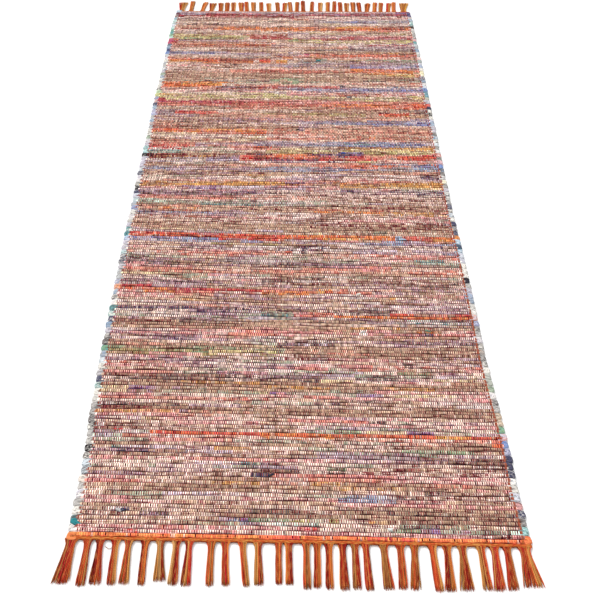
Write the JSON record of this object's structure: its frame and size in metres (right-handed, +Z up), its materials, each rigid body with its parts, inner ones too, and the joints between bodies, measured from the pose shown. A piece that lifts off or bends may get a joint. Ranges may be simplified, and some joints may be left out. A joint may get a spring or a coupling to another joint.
{
  "type": "rag rug",
  "caption": "Flat handwoven rag runner with ribbed rag rows, looped sides and knotted yarn fringe at both ends.",
  "frame": {"origin": "middle of the flat underside, on the floor", "axes": "+X across the cloth, +Y along it towards the far fringe, +Z up from the floor"},
  "size_m": [0.7192, 2.1734, 0.0057],
  "materials": {
    "rag_cloth": "matt woven cotton rags, multicoloured stripes",
    "yarn_near": "matt twisted cotton yarn",
    "yarn_far": "matt twisted cotton yarn"
  },
  "bodies": {
    "root": {"rug_body": "rag_cloth", "fringe_near": "yarn_near", "fringe_far": "yarn_far"}
  },
  "joints": []
}
